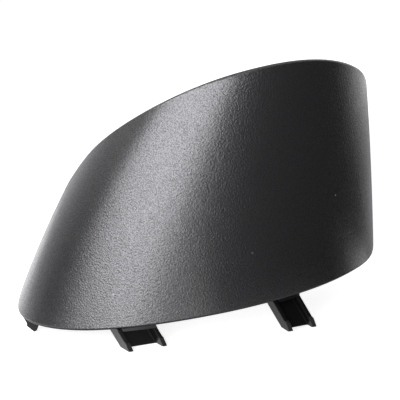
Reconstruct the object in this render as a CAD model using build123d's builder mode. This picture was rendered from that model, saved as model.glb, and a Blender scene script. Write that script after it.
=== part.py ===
from build123d import *
import os
from math import atan2, copysign, cos, radians, sin, tan

# Mirror arm cover: one thin moulded shell with three snap clips on its lower rim.
# The front faces -Y and +Z is up. The origin lies on the plane of the lower rim,
# midway between the side walls.

# Shell: three level sections, each a U that is open to the back
foot_level = -25.0
foot_left = 82.2
foot_right = 76.3
foot_depth = 60.4
waist_level = 40.0
waist_left = 54.8
waist_right = 73.4
waist_depth = 52.4
crown_level = 105.0
crown_left = 13.1
crown_right = 67.6
crown_depth = 44.4
section_fullness = 2.16
nose_shift = 0.074
skew_angle = 14.0
side_wall_run = 18.0
wall = 2.5

# Rims: two flat cuts and the roundings of their edges
lower_rim_rise = 5.1
upper_rim_height = 62.9
upper_rim_rise = 20.7
upper_rim_fall = 33.5
back_corner_radius = 2.0
outer_edge_radius = 0.9
inner_edge_radius = 0.6

# Clips: all three slide in along the same slanted direction
slide_slant = 30.2
slide_kick = 5.7
rib_thickness = 1.9
plate_thickness = 1.8
barb_height = 0.6
barb_rise = 0.9
lead_in_length = 3.6
lead_in_depth = 0.8
tip_width = 1.2
lip_drop = 1.2
root_height = 9.0
root_cover = 0.8
clip_edge_radius = 0.3

# Left front clip
left_clip_place = 0.381
left_clip_turn = 25.0
left_clip_width = 16.4
left_clip_depth = 7.5
left_clip_inset = 3.9
left_clip_plate_drop = 6.8
left_clip_drop = 9.0

# Right front clip
right_clip_place = 0.634
right_clip_turn = 28.0
right_clip_width = 13.0
right_clip_depth = 5.5
right_clip_inset = 1.7
right_clip_plate_drop = 11.5
right_clip_drop = 13.6

# Side clip, on the left wall
side_clip_place = 0.12
side_clip_turn = -85.0
side_clip_width = 13.0
side_clip_depth = 4.5
side_clip_inset = 2.2
side_clip_plate_drop = 6.0
side_clip_drop = 8.0

os.makedirs("parts", exist_ok=True)


def section_points(left, right, depth, run):
    """Points of one U section: straight side walls joined by a full, skewed front."""
    middle = (right - left) / 2
    half_width = (right + left) / 2
    skew = tan(radians(skew_angle))
    points = [(-left, run - skew * left)]
    for turn in range(0, 181, 15):
        cosine = cos(radians(turn))
        across = -copysign(abs(cosine) ** (2 / section_fullness), cosine)
        forward = abs(sin(radians(turn))) ** (2 / section_fullness)
        x = middle + half_width * (across - nose_shift * (1 - across**2))
        points.append((x, skew * x - depth * forward))
    points.append((right, run + skew * right))
    return points


def form_sections(inset, run):
    """Sections of the cover's form, taller than the cover, with the skin moved in by the inset."""
    height = crown_level - foot_level
    left_inset = inset / cos(atan2(foot_left - crown_left, height))
    right_inset = inset / cos(atan2(foot_right - crown_right, height))
    front_inset = inset / cos(atan2(foot_depth - crown_depth, height))
    sections = []
    for level, left, right, depth in (
        (foot_level, foot_left, foot_right, foot_depth),
        (waist_level, waist_left, waist_right, waist_depth),
        (crown_level, crown_left, crown_right, crown_depth),
    ):
        points = section_points(left - left_inset, right - right_inset, depth - front_inset, run)
        with BuildSketch(Plane.XY.offset(level)) as section:
            with BuildLine():
                Spline(*points, tangents=[(0, -1), (0, 1)])
                Line(points[-1], points[0])
            make_face()
        sections.append(section.sketch)
    return sections


lower_rim = Plane.XY.rotated((0, -lower_rim_rise, 0))
upper_rim = Plane(
    (0, 0, upper_rim_height),
    z_dir=(
        -tan(radians(upper_rim_rise)),
        tan(radians(upper_rim_fall)),
        1,
    ),
)

with BuildPart() as cavity:
    loft(form_sections(wall, side_wall_run + wall))

# The shell: hollowed, cut along both rims, and rounded along its edges
with BuildPart() as cover:
    loft(form_sections(0, side_wall_run))
    add(cavity.part, mode=Mode.SUBTRACT)
    split(bisect_by=lower_rim, keep=Keep.TOP)
    split(bisect_by=upper_rim, keep=Keep.BOTTOM)
    fillet(cover.edges().filter_by(lambda edge: edge.length < 2 * wall), back_corner_radius)
    outer_skin = cover.faces().sort_by(SortBy.AREA)[-1]
    rim_line = outer_skin.edges().sort_by(SortBy.LENGTH)[-2:].sort_by(Axis.Z)[0]
    fillet(outer_skin.edges(), outer_edge_radius)
    inner_skin = cover.faces().sort_by(SortBy.AREA)[-2]
    fillet(inner_skin.edges(), inner_edge_radius)

# The form without its outermost layer, which the clip roots may fill
with BuildPart() as core:
    loft(form_sections(root_cover, side_wall_run))

# All that the clip roots are cut back to, above the lower rim
with BuildPart() as surroundings:
    with BuildSketch(lower_rim):
        Rectangle(4 * foot_left, 4 * foot_left)
    extrude(amount=crown_level)
    add(core.part, mode=Mode.SUBTRACT)

# A thin lip under the flat of the lower rim, kept only between the ribs of the clips
with BuildPart() as lip_hollow:
    loft(form_sections(wall - inner_edge_radius, side_wall_run + wall))

with BuildPart() as lip_ring:
    loft(form_sections(outer_edge_radius, side_wall_run))
    add(lip_hollow.part, mode=Mode.SUBTRACT)
    split(bisect_by=lower_rim.offset(wall), keep=Keep.BOTTOM)
    split(bisect_by=lower_rim.offset(-lip_drop), keep=Keep.TOP)

slide = Vector(
    sin(radians(slide_slant)) * cos(radians(slide_kick)),
    -sin(radians(slide_kick)),
    -cos(radians(slide_slant)) * cos(radians(slide_kick)),
)


def snap_clip(place, turn, width, depth, inset, plate_drop, drop):
    """A plate between two barbed ribs, open to the outside, that follows the slide direction."""
    run_from_left = (rim_line @ 0).X < (rim_line @ 1).X
    rim_point = rim_line @ (place if run_from_left else 1 - place)
    along = Vector(cos(radians(turn)), sin(radians(turn)), 0)
    outward = slide.cross(along).normalized()
    down = along.cross(outward)
    root = rim_point - outward * (depth + inset)
    lean = slide.dot(along) / slide.dot(down)
    side_view = Plane(root, x_dir=outward, z_dir=along)
    front_view = Plane(root, x_dir=along, z_dir=outward)
    reach = 2 * (width + drop + root_height)

    with BuildPart() as clip:
        # Rib profile, seen along the clip's width
        with BuildSketch(side_view):
            with BuildLine():
                Polyline(
                    (0, -root_height),
                    (0, plate_drop),
                    (depth - lead_in_depth - tip_width, drop),
                    (depth - lead_in_depth, drop),
                    (depth + barb_height, drop - lead_in_length),
                    (depth, drop - lead_in_length - barb_rise),
                    (depth, 0),
                    (depth + 2 * inset, -wall),
                    (depth + 2 * inset, -root_height),
                    close=True,
                )
            make_face()
        extrude(amount=reach / 2, both=True)
        # Slanted sides
        with BuildSketch(front_view):
            with BuildLine():
                Polyline(
                    (-width / 2 - lean * root_height, root_height),
                    (width / 2 - lean * root_height, root_height),
                    (width / 2 + lean * drop, -drop),
                    (-width / 2 + lean * drop, -drop),
                    close=True,
                )
            make_face()
        extrude(amount=reach, mode=Mode.INTERSECT)
        # Channel between the ribs
        room = width / 2 - rib_thickness
        with BuildSketch(front_view.offset(plate_thickness)):
            with BuildLine():
                Polyline(
                    (-room - lean * reach, reach),
                    (room - lean * reach, reach),
                    (room + lean * reach, -reach),
                    (-room + lean * reach, -reach),
                    close=True,
                )
            make_face()
        extrude(amount=reach, mode=Mode.SUBTRACT)
        fillet(clip.edges(), clip_edge_radius)

    with BuildPart() as lip:
        add(lip_ring.part)
        with BuildSketch(front_view):
            with BuildLine():
                Polyline(
                    (-room - lean * root_height, root_height),
                    (room - lean * root_height, root_height),
                    (room + lean * drop, -drop),
                    (-room + lean * drop, -drop),
                    close=True,
                )
            make_face()
        extrude(amount=reach, mode=Mode.INTERSECT)
    return clip.part, lip.part


left_clip, left_lip = snap_clip(
    left_clip_place,
    left_clip_turn,
    left_clip_width,
    left_clip_depth,
    left_clip_inset,
    left_clip_plate_drop,
    left_clip_drop,
)
right_clip, right_lip = snap_clip(
    right_clip_place,
    right_clip_turn,
    right_clip_width,
    right_clip_depth,
    right_clip_inset,
    right_clip_plate_drop,
    right_clip_drop,
)
side_clip, _ = snap_clip(
    side_clip_place,
    side_clip_turn,
    side_clip_width,
    side_clip_depth,
    side_clip_inset,
    side_clip_plate_drop,
    side_clip_drop,
)

with BuildPart() as clips:
    add(left_clip)
    add(right_clip)
    add(side_clip)
    add(surroundings.part, mode=Mode.SUBTRACT)

with BuildPart() as arm_cover:
    add(cover.part)
    add(clips.part)
    add(left_lip)
    add(right_lip)

arm_cover.part.label = "arm_cover"
export_step(arm_cover.part, "parts/arm_cover.step")
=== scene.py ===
from math import cos, pi, radians, sin

import bmesh
import bpy
from mathutils import Matrix, Quaternion, Vector


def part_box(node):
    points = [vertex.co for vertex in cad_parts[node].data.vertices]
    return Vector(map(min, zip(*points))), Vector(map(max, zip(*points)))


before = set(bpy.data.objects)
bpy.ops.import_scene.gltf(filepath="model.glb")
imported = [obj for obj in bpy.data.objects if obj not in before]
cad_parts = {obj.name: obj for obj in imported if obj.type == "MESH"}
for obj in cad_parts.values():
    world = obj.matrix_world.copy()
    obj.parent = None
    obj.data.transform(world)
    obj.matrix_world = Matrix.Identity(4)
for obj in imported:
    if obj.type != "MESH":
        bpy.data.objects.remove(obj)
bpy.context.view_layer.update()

# Arm cover: one thin shell of black polypropylene, moulded with its snap clips in one shot.
# The tool's etched cavity gives the outer skin its fine pebble grain, while the rims,
# the inside and the clips come from polished steel and stay smooth.
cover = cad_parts["arm_cover"]

rim_slope = radians(5.1)
grain_pitch = 0.0007
grain_height = 0.0002
grain_start = 0.0006
grain_full = 0.0012
shell_middle = (0.004, -0.004, 0.0)
flow_pitch = 0.012
flow_height = 0.00005
dust_scale = 90.0
grained_black = (0.0115, 0.0115, 0.0118, 1.0)
# Smooth faces are darker than the grain: partly the polished finish, partly painted shade for the
# clips hanging in shade under the rim
smooth_black_painted_shade = (0.0025, 0.0025, 0.0027, 1.0)
smooth_grey_painted_shade = (0.0045, 0.0045, 0.0047, 1.0)
dust_grey = (0.22, 0.22, 0.21, 1.0)


class Value:
    """One output of a finish's nodes. Arithmetic on it adds Math nodes to the same finish."""

    def __init__(self, socket):
        self.socket = socket

    def node(self, kind, settings=None, sockets=None, output=0):
        made = self.socket.id_data.nodes.new(kind)
        for name, setting in (settings or {}).items():
            setattr(made, name, setting)
        for name, given in (sockets or {}).items():
            if isinstance(given, Value):
                self.socket.id_data.links.new(given.socket, made.inputs[name])
            else:
                made.inputs[name].default_value = given
        return Value(made.outputs[output])

    def maths(self, operation, first, second):
        return self.node("ShaderNodeMath", {"operation": operation}, {0: first, 1: second})

    def __add__(self, other):
        return self.maths("ADD", self, other)

    def __radd__(self, other):
        return self.maths("ADD", other, self)

    def __sub__(self, other):
        return self.maths("SUBTRACT", self, other)

    def __rsub__(self, other):
        return self.maths("SUBTRACT", other, self)

    def __mul__(self, other):
        return self.maths("MULTIPLY", self, other)

    def __rmul__(self, other):
        return self.maths("MULTIPLY", other, self)

    def dot(self, other):
        settings = {"operation": "DOT_PRODUCT"}
        return self.node("ShaderNodeVectorMath", settings, {0: self, 1: other}, "Value")

    def rise(self, low, high):
        """0 below the low mark, 1 above the high one, smooth between them."""
        settings = {"interpolation_type": "SMOOTHSTEP"}
        sockets = {"Value": self, "From Min": low, "From Max": high}
        return self.node("ShaderNodeMapRange", settings, sockets)

    def noise(self, pitch, detail):
        sockets = {"Vector": self, "Scale": 1 / pitch, "Detail": detail}
        return self.node("ShaderNodeTexNoise", {}, sockets)

    def blend(self, first, second):
        """From the first colour to the second as this value goes from 0 to 1."""
        settings = {"data_type": "RGBA"}
        sockets = {"Factor": self, 6: first, 7: second}
        return self.node("ShaderNodeMix", settings, sockets, 2)


plastic = bpy.data.materials.new("black_grained_plastic")
plastic.use_nodes = True
plastic.node_tree.nodes.remove(plastic.node_tree.nodes["Principled BSDF"])
place = Value(plastic.node_tree.nodes.new("ShaderNodeTexCoord").outputs["Object"])
facing = place.node("ShaderNodeNewGeometry", output="Normal")

# The grained skin faces away from the shell's middle and ends at the roundings of the rims
above_rim = place.dot((-sin(rim_slope), 0.0, cos(rim_slope)))
from_middle = place.node(
    "ShaderNodeVectorMath",
    {"operation": "MULTIPLY_ADD"},
    {0: place, 1: (1.0, 1.0, 0.0), 2: [-part for part in shell_middle]},
)
from_middle = place.node("ShaderNodeVectorMath", {"operation": "NORMALIZE"}, {0: from_middle})
skin = facing.dot(from_middle).rise(0.3, 0.6) * above_rim.rise(grain_start, grain_full)

pebbles = place.noise(grain_pitch, 1.0)
fines = place.noise(grain_pitch * 0.6, 1.0)
drift = place.noise(flow_pitch, 3.0)
grain = place.node(
    "ShaderNodeBump",
    {},
    {"Strength": 1.0, "Distance": grain_height, "Height": pebbles * 0.7 + fines * 0.3},
    "Normal",
)
burnish = fines.rise(0.34, 0.66)

# Dust: a few pale specks that have settled in the grain
cells = {"Vector": place, "Scale": dust_scale}
specks = place.node("ShaderNodeTexVoronoi", {}, cells, "Distance")
chance = place.node("ShaderNodeTexVoronoi", {}, cells, "Color")
chance = chance.node("ShaderNodeSeparateColor", {}, {0: chance}, "Red")
dust = (1 - specks.rise(0.02, 0.05)) * chance.rise(0.86, 0.88)

grained = place.node(
    "ShaderNodeBsdfPrincipled",
    {},
    {
        "Base Color": dust.blend(grained_black, dust_grey),
        "Roughness": 0.32 + (drift - 0.5) * 0.06 + dust * 0.3,
        "Specular IOR Level": 0.55,
        "Coat Weight": burnish * 0.9,
        "Coat Roughness": 0.3,
        "Normal": grain,
    },
)

# The smooth faces show only the faint flow of the melt. Their colour is darker than the grain,
# partly from the polished finish and partly as painted shade for the clips that hang under the
# rim
flow = place.node(
    "ShaderNodeBump",
    {},
    {"Strength": 1.0, "Distance": flow_height, "Height": drift},
    "Normal",
)
smooth = place.node(
    "ShaderNodeBsdfPrincipled",
    {},
    {
        "Base Color": drift.blend(smooth_black_painted_shade, smooth_grey_painted_shade),
        "Roughness": 0.32 + (drift - 0.5) * 0.12,
        "Specular IOR Level": 0.15,
        "Normal": flow,
    },
)
finish = place.node("ShaderNodeMixShader", {}, {0: skin, 1: smooth, 2: grained})
plastic.node_tree.links.new(
    finish.socket, plastic.node_tree.nodes["Material Output"].inputs["Surface"]
)
cover.material_slots[0].material = plastic

# Studio: a wide sheet of white paper under the cover, which takes its shadow and runs on
# into a white surround. Black and grey cards stand to the left and right, out of
# the picture, and keep both flanks of the cover dark.
floor_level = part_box("arm_cover")[0].z
paper_reach = 6.0
paper_front = 0.14
paper_glow = (0.72, 0.72, 0.72, 1.0)
surround_light = 0.35
card_lift = 0.001

world = bpy.data.worlds.new("white_surround")
bpy.context.scene.world = world
world.use_nodes = True
surround = world.node_tree.nodes["Background"]


def seen_in(tree):
    """1 for rays that show a surface by sight, in a reflection or through something clear."""
    rays = tree.nodes.new("ShaderNodeLightPath")
    seen = Value(rays.outputs["Is Camera Ray"]) + Value(rays.outputs["Is Glossy Ray"])
    return (seen + Value(rays.outputs["Is Transmission Ray"])).rise(0.0, 1.0)


strength = surround_light + seen_in(world.node_tree) * (1 - surround_light)
surround.inputs["Color"].default_value = (1.0, 1.0, 1.0, 1.0)
world.node_tree.links.new(strength.socket, surround.inputs["Strength"])


def new_stage_piece(name, shape):
    mesh = bpy.data.meshes.new(name)
    shape.to_mesh(mesh)
    shape.free()
    piece = bpy.data.objects.new(name, mesh)
    bpy.context.scene.collection.objects.link(piece)
    return piece


shape = bmesh.new()
bmesh.ops.create_grid(shape, x_segments=1, y_segments=1, size=paper_reach)
bmesh.ops.translate(shape, verts=shape.verts, vec=(0.0, paper_reach - paper_front, floor_level))
floor = new_stage_piece("paper_floor", shape)

paper = bpy.data.materials.new("white_paper")
paper.use_nodes = True
sheet = paper.node_tree.nodes["Principled BSDF"]
fibre = Value(paper.node_tree.nodes.new("ShaderNodeTexCoord").outputs["Object"]).noise(0.002, 2.0)
tone = fibre.blend((0.88, 0.88, 0.88, 1.0), (0.92, 0.92, 0.92, 1.0))
glow = seen_in(paper.node_tree).blend((0.0, 0.0, 0.0, 1.0), paper_glow)
paper.node_tree.links.new(tone.socket, sheet.inputs["Base Color"])
paper.node_tree.links.new(glow.socket, sheet.inputs["Emission Color"])
sheet.inputs["Emission Strength"].default_value = 1.0
sheet.inputs["Roughness"].default_value = 1.0
sheet.inputs["Specular IOR Level"].default_value = 0.0
floor.data.materials.append(paper)


def new_felt(name, shade):
    felt = bpy.data.materials.new(name)
    felt.use_nodes = True
    pile = felt.node_tree.nodes["Principled BSDF"]
    pile.inputs["Base Color"].default_value = (shade, shade, shade, 1.0)
    pile.inputs["Roughness"].default_value = 1.0
    pile.inputs["Specular IOR Level"].default_value = 0.0
    return felt


black_felt = new_felt("black_felt", 0.05)
grey_felt = new_felt("grey_felt", 0.52)


def felt_card(name, felt, start, end, near, far, rise):
    """A card bent round the cover, from its foot on the paper up and outwards."""
    shape = bmesh.new()
    foot = shape.verts.new((0.0, -near, floor_level + card_lift))
    head = shape.verts.new((0.0, -far, floor_level + card_lift + rise))
    edge = shape.edges.new((foot, head))
    turn = Matrix.Rotation(radians(start), 3, "Z")
    bmesh.ops.rotate(shape, verts=shape.verts, matrix=turn)
    bmesh.ops.spin(
        shape,
        geom=[foot, head, edge],
        axis=(0.0, 0.0, 1.0),
        cent=(0.0, 0.0, 0.0),
        angle=radians(end - start),
        steps=24,
    )
    card = new_stage_piece(name, shape)
    card.visible_camera = False
    card.visible_diffuse = False
    card.data.materials.append(felt)


felt_card("right_card", black_felt, 15.5, 88.0, 0.085, 0.8, 0.6)
felt_card("right_back_card", black_felt, 88.0, 109.0, 0.15, 0.8, 0.5)
felt_card("right_far_card", grey_felt, 109.0, 165.0, 0.1, 0.38, 0.02)
felt_card("left_card", black_felt, -98.0, -51.0, 0.3, 0.8, 0.38)
felt_card("left_far_card", grey_felt, -165.0, -98.0, 0.25, 0.8, 0.38)

# Lamp: one long softbox to the left of the camera and above it, turned so that its left end
# is the higher one. Its reflection is the broad band of light down the front of the cover.
lamp_aim = Vector((0.0, -0.03, 0.04))
lamp_azimuth = radians(-25.3)
lamp_elevation = radians(24.7)
lamp_roll = radians(-29.0)
lamp_distance = 1.6
lamp_width = 2.82
lamp_height = 0.83
lamp_radiance = 9.0
lamp_colour = (0.95, 0.945, 1.0)

lamp = bpy.data.lights.new("softbox", "AREA")
lamp.shape = "RECTANGLE"
lamp.size = lamp_width
lamp.size_y = lamp_height
lamp.energy = lamp_radiance * pi * lamp_width * lamp_height
lamp.color = lamp_colour
towards = Vector(
    (
        sin(lamp_azimuth) * cos(lamp_elevation),
        -cos(lamp_azimuth) * cos(lamp_elevation),
        sin(lamp_elevation),
    )
)
softbox = bpy.data.objects.new("softbox", lamp)
softbox.location = lamp_aim + towards * lamp_distance
turn = towards.to_track_quat("Z", "Y") @ Quaternion((0.0, 0.0, 1.0), lamp_roll)
softbox.rotation_euler = turn.to_euler()
softbox.visible_camera = False
bpy.context.scene.collection.objects.link(softbox)

# Camera: level with the horizon, a little above the cover and square to its front.
view_elevation = radians(16.0)
view_distance = 0.75
view_middle = Vector((0.0, 0.0, 0.03214))
frame_width = 0.168

lens = bpy.data.cameras.new("view")
lens.sensor_width = 36.0
lens.lens = lens.sensor_width * view_distance / frame_width
camera = bpy.data.objects.new("view", lens)
back = Vector((0.0, -cos(view_elevation), sin(view_elevation)))
camera.location = view_middle + back * view_distance
camera.rotation_euler = back.to_track_quat("Z", "Y").to_euler()
bpy.context.scene.collection.objects.link(camera)
bpy.context.scene.camera = camera
bpy.context.scene.view_settings.view_transform = "Standard"
